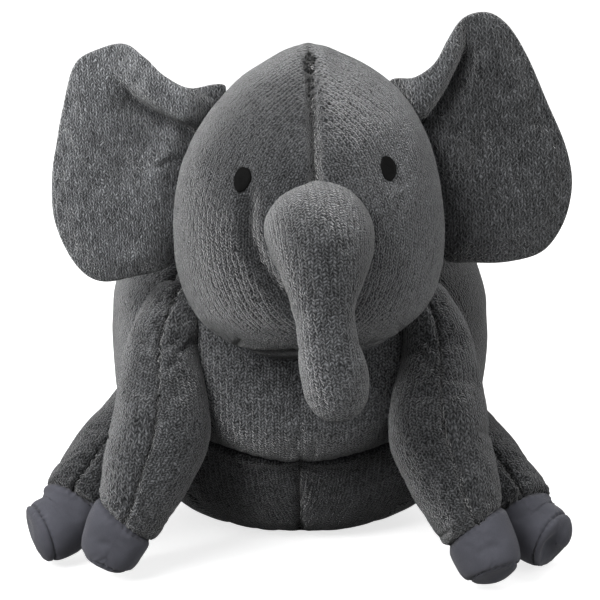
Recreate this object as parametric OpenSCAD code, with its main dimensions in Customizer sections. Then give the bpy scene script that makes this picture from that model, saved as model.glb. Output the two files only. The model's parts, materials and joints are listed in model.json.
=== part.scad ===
// Sitting stuffed elephant, about 26 cm tall, in a grey chenille knit.
// Millimetres. +Z is up, the face looks along -Y, and the origin is on the seat's flat underside.
// Every cover panel is a thin closed shell, and every filling is a closed solid inside its covers.

/* [Torso] */
// Width across the flanks
torso_w = 176; // [168:1:180]
// Depth from chest to back
torso_d = 140; // [134:1:142]
// Height of the back above the seat
torso_h = 160; // [156:1:162]
// Height at which the pellet bag ends and the stuffing starts
pellet_top = 36; // [28:1:44]

/* [Head] */
// Width across the cheeks
head_w = 119; // [112:1:120]
// Height from the chin to the crown
head_h = 135; // [130:1:138]
// Sideways lean of the head, degrees
head_tilt = -3.5; // [-5:0.5:5]
// Turn of the face to the side, degrees
head_turn = 4; // [-6:1:6]
// Sideways shift of the head
head_shift = 3; // [-4:1:4]
// Length of an embroidered eye
eye_l = 12; // [9:1:14]
// Width of an embroidered eye
eye_w = 7.6; // [6:0.2:10]

/* [Ears] */
// Reach of an ear from the middle of the head
ear_reach = 116; // [110:1:118]
// Thickness of an ear's wadding at its middle
wadding_t = 4.6; // [3:0.2:6]
// How far the outer edge of an ear curls forward
ear_curl = 8; // [4:1:12]

/* [Limbs] */
// Radius of a front leg at its thickest
front_leg_r = 22.5; // [19:0.5:23]
// Radius of a hind leg at its thickest
hind_leg_r = 18.5; // [16:0.5:18.5]
// Radius of the trunk at its root
trunk_r = 20; // [15:0.5:20.5]
// Radius of the tail's root
tail_r = 4.5; // [3.5:0.5:5]

/* [Fabric] */
// Thickness of the knit with its pile
knit_t = 2; // [1.5:0.1:2.5]
// Gap left between a cover and its filling
fill_gap = 1.7; // [1.5:0.1:2.5]
// Gap left between two panels at a seam
seam_gap = 0.5; // [0.4:0.1:1]
// Thickness of the woven foot fabric
twill_t = 1.2; // [0.8:0.1:1.6]
// Radius of the sewing thread
thread_r = 0.7; // [0.5:0.1:1]

/* [Hidden] */

KNIT = [0.40, 0.41, 0.42];
KNIT_SHADE = [0.33, 0.34, 0.35];
TWILL = [0.33, 0.33, 0.37];
FILL = [0.92, 0.92, 0.90];
PELLET = [0.80, 0.82, 0.84];
THREAD = [0.16, 0.16, 0.17];
EYE = [0.05, 0.05, 0.06];

// Where the neck bends, and the lean of the neck from vertical
neck_pivot = [0, -48, 132];
neck_lean = 45;

// A lofted body is a list of stations along its spine: [x, y, z, half width, half depth].
// Torso and head are stacks of level rings, given as [z, front y, back y, half width],
// each as a share of the height, depth and width.
torso_profile = [
    [0.016, -0.229, 0.300, 0.341], [0.075, -0.329, 0.386, 0.420], [0.175, -0.421, 0.457, 0.472],
    [0.313, -0.500, 0.493, 0.494], [0.469, -0.521, 0.493, 0.500], [0.613, -0.500, 0.471, 0.497],
    [0.738, -0.379, 0.414, 0.466], [0.850, -0.250, 0.329, 0.386], [0.938, -0.150, 0.214, 0.256],
    [0.988, -0.064, 0.100, 0.110], [1.000, -0.014, 0.030, 0.012]
];
head_bottom = 107;
head_profile = [
    [0.000, -104, -100, 0.017], [0.015, -112, -88, 0.185], [0.067, -118, -74, 0.320],
    [0.141, -121, -62, 0.420], [0.245, -123, -50, 0.479], [0.378, -123, -44, 0.500],
    [0.526, -122, -43, 0.487], [0.667, -118, -46, 0.441], [0.785, -110, -52, 0.366],
    [0.889, -102, -60, 0.269], [0.963, -94, -68, 0.160], [0.996, -86, -78, 0.059],
    [1.000, -84, -80, 0.017]
];

// Level rings as stations
function stack(profile, base, h, d, w) = [
    for (p = profile) [0, (p[1] + p[2]) / 2 * d, base + p[0] * h, p[3] * w, (p[2] - p[1]) / 2 * d]
];
torso_rows = stack(torso_profile, 0, torso_h, torso_d, torso_w);
head_rows = stack(head_profile, head_bottom, head_h, 1, head_w);

// Left front leg, from the shoulder to the foot. The last number is a share of front_leg_r.
front_leg_rows = [
    for (p = [
        [-53, -81.5, 113, 0.09], [-54, -81.7, 109, 0.55], [-56, -82, 98, 0.89],
        [-59, -83, 82, 0.98], [-62.5, -85, 64, 1], [-70, -89, 46, 0.85], [-76, -93, 32, 0.72],
        [-80, -96.5, 21, 0.67], [-82.5, -99, 11, 0.66], [-83.5, -100, 5.5, 0.50]
    ]) [p[0], p[1], p[2], p[3] * front_leg_r, p[3] * front_leg_r]
];
// Left hind leg, from the hip to the foot
hind_leg_rows = [
    for (p = [
        [-82, -37.5, 53.5, 0.11], [-84, -40, 51.5, 0.55], [-90, -48, 44, 0.97],
        [-97, -57, 36, 1], [-104, -66, 27.5, 0.95], [-109.5, -72.5, 21.5, 0.87],
        [-113, -77, 17.5, 0.81], [-116.5, -81.5, 14.5, 0.73], [-118.5, -84, 13.3, 0.54]
    ]) [p[0], p[1], p[2], p[3] * hind_leg_r, p[3] * hind_leg_r]
];
// Trunk, from its root between the cheeks to its tip
trunk_rows = [
    for (p = [
        [0, -143, 188, 0.12], [0, -143.2, 184, 0.59], [0, -144.5, 172, 1], [0, -147, 158, 0.93],
        [1, -149.5, 145, 0.72], [2.5, -151, 131, 0.61], [4, -150, 118, 0.65],
        [6, -147, 106, 0.67], [7.5, -144.5, 98, 0.52], [8, -143.5, 94.5, 0.18]
    ]) [p[0], p[1], p[2], p[3] * trunk_r, p[3] * trunk_r]
];
// Tail, hanging from the middle of the back
tail_rows = [
    for (p = [
        [0, 75.5, 52.5, 0.25], [0, 75.5, 50, 0.85], [0, 75.5, 46, 1], [0, 77, 36, 0.9],
        [0, 79, 24, 0.8], [0, 81, 14, 0.8], [0, 82, 9, 1.05], [0, 82.5, 4.5, 0.7]
    ]) [p[0], p[1], p[2], p[3] * tail_r, p[3] * tail_r]
];
// Outline of the left ear as [outward, up], outward as a share of ear_reach
ear_outline = [
    [0.36, 227], [0.52, 240], [0.69, 247], [0.86, 233], [0.98, 205], [1.00, 176],
    [0.94, 153], [0.83, 141], [0.70, 138], [0.565, 142], [0.545, 158], [0.525, 184], [0.455, 208]
];
ear_centre = [0.68, 188];
ear_y = -70;
ear_root = 0.52;

// Shares of each leg's length where the knit ends and where the sole starts
cap_start = 0.76;
sole_start = 0.94;
chin_top = 0.16;
// Angles round the torso, from +X through the back: where the side panels meet the front panels
front_edge = 48;
belly_top = 0.36;
chest_top = 0.62;

// Catmull-Rom value of four neighbouring rows at f from the second to the third
function spline(p0, p1, p2, p3, f) = 0.5 * (
    2 * p1 + (p2 - p0) * f + (2 * p0 - 5 * p1 + 4 * p2 - p3) * f * f
    + (3 * p1 - p0 - 3 * p2 + p3) * f * f * f
);
// Row of an open list at t from 0 to 1
function row_at(rows, t) = let (
    n = len(rows) - 1,
    k = min(floor(t * n), n - 1)
) spline(rows[max(k - 1, 0)], rows[k], rows[k + 1], rows[min(k + 2, n)], t * n - k);
// Row of a closed list at t from 0 to 1
function loop_at(rows, t) = let (
    n = len(rows),
    k = floor(t * n)
) spline(rows[(k + n - 1) % n], rows[k % n], rows[(k + 1) % n], rows[(k + 2) % n], t * n - k);

function unit(v) = v / norm(v);
function place(r) = [r[0], r[1], r[2]];
function direction(rows, t, level) = level ? [0, 0, 1]
    : unit(place(row_at(rows, min(t + 0.02, 1))) - place(row_at(rows, max(t - 0.02, 0))));
// Point of a lofted surface at t along it and v degrees round it, raised by off
function surface_point(rows, t, v, off, level) = let (
    r = row_at(rows, t),
    d = direction(rows, t, level),
    side = unit([1, 0, 0] - d[0] * d),
    up = cross(d, side)
) place(r) + max(r[3] + off, 0.4) * cos(v) * side + max(r[4] + off, 0.4) * sin(v) * up;

// Triangles of one quad of a grid, seen from outside
function quad(a, b, c, d) = [[a, d, c], [a, c, b]];
function joined(lists) = [for (l = lists) for (e = l) e];

// Closed shell between two offsets of a lofted surface, over a range of t and of v
module shell(rows, t0, t1, v0, v1, nt, nv, outer, inner, level = false) {
    whole = v1 - v0 >= 360;
    cols = whole ? nv : nv + 1;
    layer = (nt + 1) * cols;
    points = [
        for (off = [outer, inner]) for (i = [0:nt]) for (j = [0:cols - 1])
            surface_point(rows, t0 + (t1 - t0) * i / nt, v0 + (v1 - v0) * j / nv, off, level)
    ];
    function at(i, j) = i * cols + j % cols;
    skins = joined([
        for (i = [0:nt - 1]) for (j = [0:nv - 1]) let (
            a = at(i, j), b = at(i, j + 1), c = at(i + 1, j + 1), d = at(i + 1, j)
        ) concat(quad(a, b, c, d), quad(a + layer, d + layer, c + layer, b + layer))
    ]);
    ends = joined([
        for (j = [0:nv - 1]) let (
            a = at(0, j), b = at(0, j + 1), c = at(nt, j + 1), d = at(nt, j)
        ) concat(quad(a + layer, b + layer, b, a), quad(d, c, c + layer, d + layer))
    ]);
    sides = whole ? [] : joined([
        for (i = [0:nt - 1]) let (
            a = at(i, 0), d = at(i + 1, 0), b = at(i, nv), c = at(i + 1, nv)
        ) concat(quad(a, d, d + layer, a + layer), quad(b + layer, c + layer, c, b))
    ]);
    polyhedron(points, concat(skins, ends, sides));
}

// Closed solid inside a lofted surface
module plug(rows, t0, t1, nt, nv, off, level = false) {
    points = [
        for (i = [0:nt]) for (j = [0:nv - 1])
            surface_point(rows, t0 + (t1 - t0) * i / nt, 360 * j / nv, off, level)
    ];
    skin = joined([
        for (i = [0:nt - 1]) for (j = [0:nv - 1])
            quad(i * nv + j, i * nv + (j + 1) % nv, (i + 1) * nv + (j + 1) % nv, (i + 1) * nv + j)
    ]);
    caps = [[for (j = [0:nv - 1]) j], [for (j = [nv - 1:-1:0]) nt * nv + j]];
    polyhedron(points, concat(skin, caps));
}

// Closed plate between a front and a back layer of points. Each layer is a middle point and then
// its rings of cols points, from the innermost ring to the rim.
module plate(points, rings, cols) {
    layer = 1 + rings * cols;
    function at(k, j) = 1 + (k - 1) * cols + j % cols;
    hubs = joined([
        for (j = [0:cols - 1]) [[0, at(1, j), at(1, j + 1)],
            [layer, layer + at(1, j + 1), layer + at(1, j)]]
    ]);
    skins = joined([
        for (k = [1:rings - 1]) for (j = [0:cols - 1]) let (
            a = at(k, j), b = at(k, j + 1), c = at(k + 1, j + 1), d = at(k + 1, j)
        ) concat(quad(a, b, c, d), quad(a + layer, d + layer, c + layer, b + layer))
    ]);
    rim = joined([
        for (j = [0:cols - 1]) let (a = at(rings, j), b = at(rings, j + 1))
            quad(a, b, b + layer, a + layer)
    ]);
    polyhedron(points, concat(hubs, skins, rim));
}

// The head's own lean and turn, which its ears, eyes and trunk share
module head_pose() {
    translate(neck_pivot + [head_shift, 0, 0])
        rotate([0, head_tilt, head_turn])
            translate(-neck_pivot)
                children();
}

// The right-hand twin of a left-hand piece
module sided(right) {
    if (right) mirror([1, 0, 0]) children();
    else children();
}

// ---- Torso ----
seam_v = seam_gap / torso_w * 180 / PI * 2;

module torso_panel_left() {
    color(KNIT) shell(torso_rows, 0, 1, 90 + seam_v, 270 - front_edge - seam_v, 15, 12,
        0, -knit_t, true);
}

module torso_panel_right() {
    color(KNIT) mirror([1, 0, 0]) shell(torso_rows, 0, 1, 90 + seam_v, 270 - front_edge - seam_v,
        15, 12, 0, -knit_t, true);
}

module belly_panel_left() {
    color(KNIT_SHADE) shell(torso_rows, 0, belly_top - 0.005, 270 - front_edge + seam_v,
        270 - seam_v, 6, 5, 0, -knit_t, true);
}

module belly_panel_right() {
    color(KNIT_SHADE) shell(torso_rows, 0, belly_top - 0.005, 270 + seam_v,
        270 + front_edge - seam_v, 6, 5, 0, -knit_t, true);
}

module chest_panel() {
    color(KNIT) shell(torso_rows, belly_top + 0.005, 1, 270 - front_edge + seam_v,
        270 + front_edge - seam_v, 9, 10, 0, -knit_t, true);
}

// Flat oval that the elephant sits on
module seat_panel() {
    seat = torso_rows[0];
    color(KNIT_SHADE) linear_extrude(knit_t)
        polygon([
            for (j = [0:39]) [seat[3] * cos(j * 9), seat[1] + seat[4] * sin(j * 9)]
        ]);
}

module torso_filling() {
    t_start = 0.30 + (pellet_top - 36) / torso_h;
    color(FILL) plug(torso_rows, t_start, 0.97, 11, 20, -knit_t - fill_gap, true);
}

// Sealed pouch of pellets in the rump, which makes the elephant sit
module pellet_bag() {
    t_end = 0.215 + (pellet_top - 36) / torso_h;
    color(PELLET) plug(torso_rows, 0.03, t_end, 4, 20, -knit_t - 4, true);
}

// Ladder stitch that closes the back seam
module closing_stitch() {
    line = [
        for (t = [0.36:0.03:0.57])
            concat(surface_point(torso_rows, t, 90, 1.4 + thread_r, true), [thread_r, thread_r])
    ];
    color(THREAD) plug(line, 0, 1, 14, 6, 0);
}

// ---- Neck ----
module neck_frame() {
    translate(neck_pivot) rotate([neck_lean, 0, 0]) children();
}

// Short wad of stuffing where the head is sewn to the torso
module neck_filling() {
    color(FILL) neck_frame() translate([0, 0, -5]) cylinder(h = 7.5, r1 = 22, r2 = 19, $fn = 48);
}

// Ring of doubled thread round the neck
module neck_stitch() {
    color(THREAD) neck_frame() translate([0, 0, -2])
        rotate_extrude($fn = 48) translate([24, 0]) circle(r = 1.3, $fn = 16);
}

// ---- Head ----
head_seam_v = seam_gap / head_w * 180 / PI * 2;

module head_panel_left() {
    color(KNIT) head_pose() shell(head_rows, chin_top, 1, 90 + head_seam_v, 270 - head_seam_v,
        14, 10, 0, -knit_t, true);
}

module head_panel_right() {
    color(KNIT) head_pose() shell(head_rows, chin_top, 1, -90 + head_seam_v, 90 - head_seam_v,
        14, 10, 0, -knit_t, true);
}

module chin_panel() {
    color(KNIT_SHADE) head_pose() shell(head_rows, 0, chin_top - 0.008, 0, 360, 4, 20,
        0, -knit_t, true);
}

module head_filling() {
    color(FILL) head_pose() plug(head_rows, 0.05, 0.96, 12, 18, -knit_t - fill_gap, true);
}

// Oval of satin stitch that follows the head's surface. The eye leans inwards at its top.
eye_t = 0.588;
eye_v = 302;
eye_lean = 14;
eye_rings = 3;
eye_cols = 16;
module eye_patch() {
    r = row_at(head_rows, eye_t);
    t_per_mm = 0.02 / (row_at(head_rows, eye_t + 0.01)[2] - row_at(head_rows, eye_t - 0.01)[2]);
    function spot(k, j, off) = let (
        out = k / eye_rings,
        across = out * eye_w / 2 * cos(j * 360 / eye_cols),
        along = out * eye_l / 2 * sin(j * 360 / eye_cols),
        x = across * cos(eye_lean) - along * sin(eye_lean),
        z = across * sin(eye_lean) + along * cos(eye_lean)
    ) surface_point(head_rows, eye_t + z * t_per_mm, eye_v + x / r[3] * 180 / PI, off, true);
    points = joined([
        for (lift = [1.4, 0.4]) concat([spot(0, 0, lift)],
            [for (k = [1:eye_rings]) for (j = [0:eye_cols - 1]) spot(k, j, lift)])
    ]);
    plate(points, eye_rings, eye_cols);
}

module eye_right() {
    color(EYE) head_pose() eye_patch();
}

module eye_left() {
    color(EYE) head_pose() mirror([1, 0, 0]) eye_patch();
}

// ---- Trunk ----
module trunk_top_panel() {
    color(KNIT) head_pose() shell(trunk_rows, 0, 0.99, -30, 210, 14, 11, 0, -knit_t);
}

module trunk_underside() {
    color(KNIT_SHADE) head_pose() shell(trunk_rows, 0, 0.99, 212, 328, 14, 5, 0, -knit_t);
}

module trunk_filling() {
    color(FILL) head_pose() plug(trunk_rows, 0.06, 0.94, 12, 12, -knit_t - 1);
}

// ---- Ears ----
// One layer of an ear, between two depths given as [at the middle, at the edge]
ear_rings = 3;
ear_cols = 26;
module ear_layer(front, back) {
    function spot(k, j, depth) = let (
        out = k / ear_rings,
        edge = loop_at(ear_outline, j / ear_cols),
        p = ear_centre + (edge - ear_centre) * out,
        bulge = 1 - out * out * out,
        curl = (p[0] - ear_root) / (1 - ear_root)
    ) [
        -p[0] * ear_reach,
        ear_y - ear_curl * curl * abs(curl) + depth[1] + (depth[0] - depth[1]) * bulge,
        p[1]
    ];
    points = joined([
        for (depth = [front, back]) concat([spot(0, 0, depth)],
            [for (k = [1:ear_rings]) for (j = [0:ear_cols - 1]) spot(k, j, depth)])
    ]);
    plate(points, ear_rings, ear_cols);
}
half_wad = wadding_t / 2;
module ear_front_layer() {
    ear_layer([-half_wad - 0.3 - knit_t, -0.9 - knit_t], [-half_wad - 0.3, -0.9]);
}
module ear_wadding_layer() {
    ear_layer([-half_wad, -0.6], [half_wad, 0.6]);
}
module ear_back_layer() {
    ear_layer([half_wad + 0.3, 0.9], [half_wad + 0.3 + knit_t, 0.9 + knit_t]);
}

module ear_left_front() {
    color(KNIT) head_pose() ear_front_layer();
}

module ear_left_wadding() {
    color(FILL) head_pose() ear_wadding_layer();
}

module ear_left_back() {
    color(KNIT) head_pose() ear_back_layer();
}

module ear_right_front() {
    color(KNIT) head_pose() mirror([1, 0, 0]) ear_front_layer();
}

module ear_right_wadding() {
    color(FILL) head_pose() mirror([1, 0, 0]) ear_wadding_layer();
}

module ear_right_back() {
    color(KNIT) head_pose() mirror([1, 0, 0]) ear_back_layer();
}

// ---- Legs ----
module leg_outer(rows, right) {
    color(KNIT) sided(right) shell(rows, 0, cap_start - 0.01, 92, 268, 10, 7, 0, -knit_t);
}

module leg_inner(rows, right) {
    color(KNIT) sided(right) shell(rows, 0, cap_start - 0.01, -88, 88, 10, 7, 0, -knit_t);
}

module leg_cap(rows, right) {
    color(TWILL) sided(right) shell(rows, cap_start, sole_start - 0.005, 0, 360, 3, 16, 0, -twill_t);
}

module leg_sole(rows, right) {
    color(TWILL) sided(right) plug(rows, sole_start, 1, 2, 16, 0);
}

module leg_filling(rows, right) {
    color(FILL) sided(right) plug(rows, 0.08, sole_start - 0.03, 9, 12, -knit_t - 1);
}

module front_left_leg_outer() { leg_outer(front_leg_rows, false); }
module front_left_leg_inner() { leg_inner(front_leg_rows, false); }
module front_left_foot_cap() { leg_cap(front_leg_rows, false); }
module front_left_sole() { leg_sole(front_leg_rows, false); }
module front_left_filling() { leg_filling(front_leg_rows, false); }
module front_right_leg_outer() { leg_outer(front_leg_rows, true); }
module front_right_leg_inner() { leg_inner(front_leg_rows, true); }
module front_right_foot_cap() { leg_cap(front_leg_rows, true); }
module front_right_sole() { leg_sole(front_leg_rows, true); }
module front_right_filling() { leg_filling(front_leg_rows, true); }
module hind_left_leg_outer() { leg_outer(hind_leg_rows, false); }
module hind_left_leg_inner() { leg_inner(hind_leg_rows, false); }
module hind_left_foot_cap() { leg_cap(hind_leg_rows, false); }
module hind_left_sole() { leg_sole(hind_leg_rows, false); }
module hind_left_filling() { leg_filling(hind_leg_rows, false); }
module hind_right_leg_outer() { leg_outer(hind_leg_rows, true); }
module hind_right_leg_inner() { leg_inner(hind_leg_rows, true); }
module hind_right_foot_cap() { leg_cap(hind_leg_rows, true); }
module hind_right_sole() { leg_sole(hind_leg_rows, true); }
module hind_right_filling() { leg_filling(hind_leg_rows, true); }

// ---- Tail ----
module tail_cover() {
    color(KNIT) shell(tail_rows, 0, 1, 0, 360, 10, 10, 0, -1.2);
}

module tail_filling() {
    color(FILL) plug(tail_rows, 0.15, 0.95, 8, 8, -2);
}

torso_panel_left();
torso_panel_right();
belly_panel_left();
belly_panel_right();
chest_panel();
seat_panel();
torso_filling();
pellet_bag();
closing_stitch();
neck_filling();
neck_stitch();
head_panel_left();
head_panel_right();
chin_panel();
head_filling();
eye_left();
eye_right();
trunk_top_panel();
trunk_underside();
trunk_filling();
ear_left_front();
ear_left_back();
ear_left_wadding();
ear_right_front();
ear_right_back();
ear_right_wadding();
front_left_leg_outer();
front_left_leg_inner();
front_left_foot_cap();
front_left_sole();
front_left_filling();
front_right_leg_outer();
front_right_leg_inner();
front_right_foot_cap();
front_right_sole();
front_right_filling();
hind_left_leg_outer();
hind_left_leg_inner();
hind_left_foot_cap();
hind_left_sole();
hind_left_filling();
hind_right_leg_outer();
hind_right_leg_inner();
hind_right_foot_cap();
hind_right_sole();
hind_right_filling();
tail_cover();
tail_filling();
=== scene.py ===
"""Looks of a sitting stuffed elephant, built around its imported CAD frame.
Lengths are in millimetres until a mesh is made. Left is the viewer's left, towards -X."""

import json
import math

import bpy
import numpy as np
from mathutils import Matrix, Vector, noise
from mathutils.bvhtree import BVHTree


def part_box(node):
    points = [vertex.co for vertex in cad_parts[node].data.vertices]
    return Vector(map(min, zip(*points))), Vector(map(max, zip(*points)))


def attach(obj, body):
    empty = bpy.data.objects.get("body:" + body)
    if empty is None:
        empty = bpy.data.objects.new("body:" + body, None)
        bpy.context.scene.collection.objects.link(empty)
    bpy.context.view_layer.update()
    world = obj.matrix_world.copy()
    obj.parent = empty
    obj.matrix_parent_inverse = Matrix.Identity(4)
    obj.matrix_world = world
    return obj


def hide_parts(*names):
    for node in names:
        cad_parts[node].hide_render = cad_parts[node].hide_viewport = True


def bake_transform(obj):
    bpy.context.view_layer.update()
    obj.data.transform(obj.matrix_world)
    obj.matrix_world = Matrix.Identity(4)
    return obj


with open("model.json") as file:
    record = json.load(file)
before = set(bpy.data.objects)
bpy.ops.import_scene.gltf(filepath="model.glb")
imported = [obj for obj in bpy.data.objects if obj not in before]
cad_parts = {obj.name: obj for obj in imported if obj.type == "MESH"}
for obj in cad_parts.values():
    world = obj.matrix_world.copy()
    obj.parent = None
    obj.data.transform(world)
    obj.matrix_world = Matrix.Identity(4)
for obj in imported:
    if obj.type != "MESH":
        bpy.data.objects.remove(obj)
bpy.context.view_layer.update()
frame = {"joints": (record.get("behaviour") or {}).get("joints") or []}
MM = 0.001

# ---------------------------------------------------------------- measures from the frame
JOINTS = {j["name"]: j for j in frame["joints"]}


def box_mm(*nodes):
    """Lowest and highest corner of some CAD nodes, in millimetres."""
    boxes = [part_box(n) for n in nodes]
    return (np.min([b[0] for b in boxes], axis=0) / MM, np.max([b[1] for b in boxes], axis=0) / MM)


def joint_mm(name):
    return np.array(JOINTS[name]["pos_m"]) / MM


NECK = joint_mm("neck_turn")
NECK_AXIS = np.array(JOINTS["neck_turn"]["axis"])
head_x = -np.array(JOINTS["trunk_lift"]["axis"])
HEAD_TURN = math.atan2(head_x[1], head_x[0])
HEAD_TILT = math.asin(-head_x[2])
EAR_MIDDLE = (joint_mm("ear_left_flap") + joint_mm("ear_right_flap")) / 2
HEAD_ROT = np.array(Matrix.Rotation(HEAD_TURN, 3, "Z") @ Matrix.Rotation(HEAD_TILT, 3, "Y"))
# The head is shifted sideways by what its turn and tilt leave over at the ears' middle
HEAD_SHIFT = HEAD_ROT @ np.array([(HEAD_ROT.T @ (EAR_MIDDLE - NECK))[0], 0, 0])

torso_lo, torso_hi = box_mm("torso_panel_left", "torso_panel_right", "belly_panel_left", "seat_panel",
                            "chest_panel")
TORSO_W = torso_hi[0] - torso_lo[0]
TORSO_H = torso_hi[2]
TORSO_D = torso_hi[1] - torso_lo[1]


def head_pose(points):
    """Head-local points, as for a straight head, to where the leaning head has them."""
    return (np.asarray(points) - NECK) @ HEAD_ROT.T + NECK + HEAD_SHIFT


# ---------------------------------------------------------------- lofted grids
def spline(rows, t):
    """Catmull-Rom values of rows at each t from 0 to 1, with the stations evenly spaced in t."""
    rows = np.asarray(rows, float)
    n = len(rows) - 1
    k = np.clip(np.floor(t * n).astype(int), 0, n - 1)
    f = (t * n - k)[:, None]
    p0, p1 = rows[np.maximum(k - 1, 0)], rows[k]
    p2, p3 = rows[k + 1], rows[np.minimum(k + 2, n)]
    return 0.5 * (2 * p1 + (p2 - p0) * f + (2 * p0 - 5 * p1 + 4 * p2 - p3) * f ** 2
                  + (3 * p1 - p0 - 3 * p2 + p3) * f ** 3)


def eased(lo, hi, n, crowd):
    """n steps from lo to hi that crowd towards both ends."""
    s = np.linspace(0, 1, n + 1)
    return lo + (hi - lo) * (s - crowd * np.sin(2 * math.pi * s) / (2 * math.pi))


def marked(marks, counts, crowd=0.45):
    """Values through all marks with counts steps between them, and the index of each mark."""
    parts = [eased(a, b, n, crowd)[:-1] for a, b, n in zip(marks, marks[1:], counts)]
    return np.concatenate(parts + [[marks[-1]]]), np.concatenate([[0], np.cumsum(counts)])


# Half width of the dark line painted at the bottom of a seam, for its thread and the shade in the groove
SEAM_DARK = 0.9
# How much darker the bottom of a crease is painted, as the shade in it
CREASE_DARK = 0.35
# A skin narrower than the first radius isn't moved, and one wider than the second moves freely
NARROW, ROOMY = 2, 14
SPINE_SAMPLES = 1200


class Grid:
    """A lofted skin: rows along a spine and columns round it. Row and column marks are where seams run.
    Its tone, one number a point, is painted light and shade: how much lighter or darker the cloth is painted
    there."""

    def __init__(self, stations, row_marks, row_counts, col_marks, col_counts, level=False):
        dense = np.linspace(0, 1, SPINE_SAMPLES)
        r = spline(stations, dense)
        run = running(r[:, :4])
        self.shares, self.row_at = marked(row_marks, row_counts)
        t = np.interp(self.shares * run[-1], run, dense)
        r = spline(stations, t)
        ahead, behind = (spline(stations, np.clip(t + reach, 0, 1)) for reach in (0.03, -0.03))
        self.centre, a, b = r[:, :3], np.maximum(r[:, 3], 0.05), np.maximum(r[:, 4], 0.05)
        self.room = smooth(np.minimum(a, b), NARROW, ROOMY)[:, None]
        along = ahead[:, :3] - behind[:, :3]
        along = np.tile([0.0, 0.0, 1.0], (len(t), 1)) if level else along
        along /= np.linalg.norm(along, axis=1)[:, None]
        side = np.array([1.0, 0, 0]) - along[:, :1] * along
        side /= np.linalg.norm(side, axis=1)[:, None]
        up = np.cross(along, side)
        self.angles, self.col_at = marked(col_marks, col_counts)
        c, s = np.cos(np.radians(self.angles)), np.sin(np.radians(self.angles))
        self.p = (self.centre[:, None] + a[:, None, None] * c[None, :, None] * side[:, None]
                  + b[:, None, None] * s[None, :, None] * up[:, None])
        self.tone = np.ones(self.p.shape[:2])

    def normals(self):
        du = np.gradient(self.p, axis=0)
        dv = np.empty_like(self.p)
        dv[:, 1:-1] = self.p[:, 2:] - self.p[:, :-2]
        dv[:, 0] = dv[:, -1] = self.p[:, 1] - self.p[:, -2]
        n = np.cross(dv, du)
        n /= np.maximum(np.linalg.norm(n, axis=2), 1e-9)[:, :, None]
        return n

    def push(self, amount):
        """Moves points along their normals, by amount in millimetres, and less where the skin is narrow."""
        self.p = self.p + self.normals() * (np.asarray(amount) * self.room)[:, :, None]
        self.p[:, -1] = self.p[:, 0]

    def seam(self, mark, rows=None, cols=None, depth=1.9, width=2.2, stitch=4.6, pucker=0.3, dark=0.75):
        """A stitched groove whose bottom is painted darker, for its thread and the shade in it. It runs down
        a column mark, between two row marks if rows are given, or round a row mark between two column marks
        if cols are given."""
        if cols is None:
            first, last = (0, len(self.p) - 1) if rows is None else (self.row_at[k] for k in rows)
            line, shape = self.p[:, self.col_at[mark]], (-1, 1)
        else:
            first, last = (self.col_at[k] for k in cols)
            line, shape = self.p[self.row_at[mark]], (1, -1)
        run = running(line).reshape(shape)
        away = np.linalg.norm(self.p - line.reshape(*shape, 3), axis=2)
        inside = np.zeros(len(line))
        inside[first:last + 1] = 1
        inside = inside.reshape(shape)
        wave = 1 + pucker * np.cos(2 * math.pi * run / stitch)
        groove = -depth * wave * np.exp(-(away / width) ** 2)
        self.tone *= 1 - dark * np.exp(-(away / SEAM_DARK) ** 2) * inside
        return groove * inside

    def line(self, points, depth, width):
        """A crease along a line of x and z points, on the side that faces forward, with painted shade at its
        bottom.
        """
        away = distance_to(self.p[:, :, [0, 2]], points)[0]
        front = np.clip(-self.normals()[:, :, 1] * 2, 0, 1)
        crease = np.exp(-(away / width) ** 2) * front
        self.tone *= 1 - CREASE_DARK * crease
        return -depth * crease

    def solid(self):
        """The skin's surface as a tree for rays."""
        nr, nc = self.p.shape[:2]
        faces = [[i * nc + j, i * nc + j + 1, (i + 1) * nc + j + 1, (i + 1) * nc + j]
                 for i in range(nr - 1) for j in range(nc - 1)]
        return BVHTree.FromPolygons([tuple(v) for v in self.p.reshape(-1, 3)], faces)


def running(points):
    """How far along a line of points each one lies."""
    return np.concatenate([[0], np.cumsum(np.linalg.norm(np.diff(points, axis=0), axis=1))])


def distance_to(flat, points):
    """Distance of each flat point to a polyline, the side it lies on, and the share of the way along."""
    best = np.full(flat.shape[:-1], 1e9)
    side, share = np.zeros_like(best), np.zeros_like(best)
    points = np.array(points, float)
    runs = running(points)
    for k, (a, b) in enumerate(zip(points, points[1:])):
        ab = b - a
        f = np.clip(((flat - a) @ ab) / (ab @ ab), 0, 1)
        d = flat - (a + f[..., None] * ab)
        away = np.linalg.norm(d, axis=-1)
        near = away < best
        best = np.where(near, away, best)
        side = np.where(near, np.sign(ab[0] * d[..., 1] - ab[1] * d[..., 0]), side)
        share = np.where(near, (runs[k] + f * (runs[k + 1] - runs[k])) / runs[-1], share)
    return best, side, share


def smooth(x, lo, hi):
    """Rises softly from 0 at lo to 1 at hi."""
    f = np.clip((x - lo) / (hi - lo), 0, 1)
    return f * f * (3 - 2 * f)


class Plate(Grid):
    """A skin given by its points: rings from the middle outwards, and on round the rim if it has a back."""

    def __init__(self, points, facing, row_marks=None):
        self.p = np.concatenate([points, points[:, :1]], axis=1)
        self.row_at, self.col_at = row_marks or [0, len(points) - 1], [0, points.shape[1]]
        self.angles = np.linspace(0, 360, points.shape[1] + 1)
        self.room = np.ones((len(points), 1))
        self.tone = np.ones(self.p.shape[:2])
        first = self.normals()[:self.row_at[1] * 2 // 3]
        if np.mean(first @ np.array(facing)) < 0:
            self.p = self.p[:, ::-1]


def lumps(points, size, seed):
    """Smooth noise from -1 to 1 at each point, with lumps of that size in millimetres."""
    flat = np.asarray(points).reshape(-1, 3) / size + seed * 7.3
    return np.array([noise.noise(Vector(q)) for q in flat]).reshape(np.asarray(points).shape[:-1])


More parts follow.
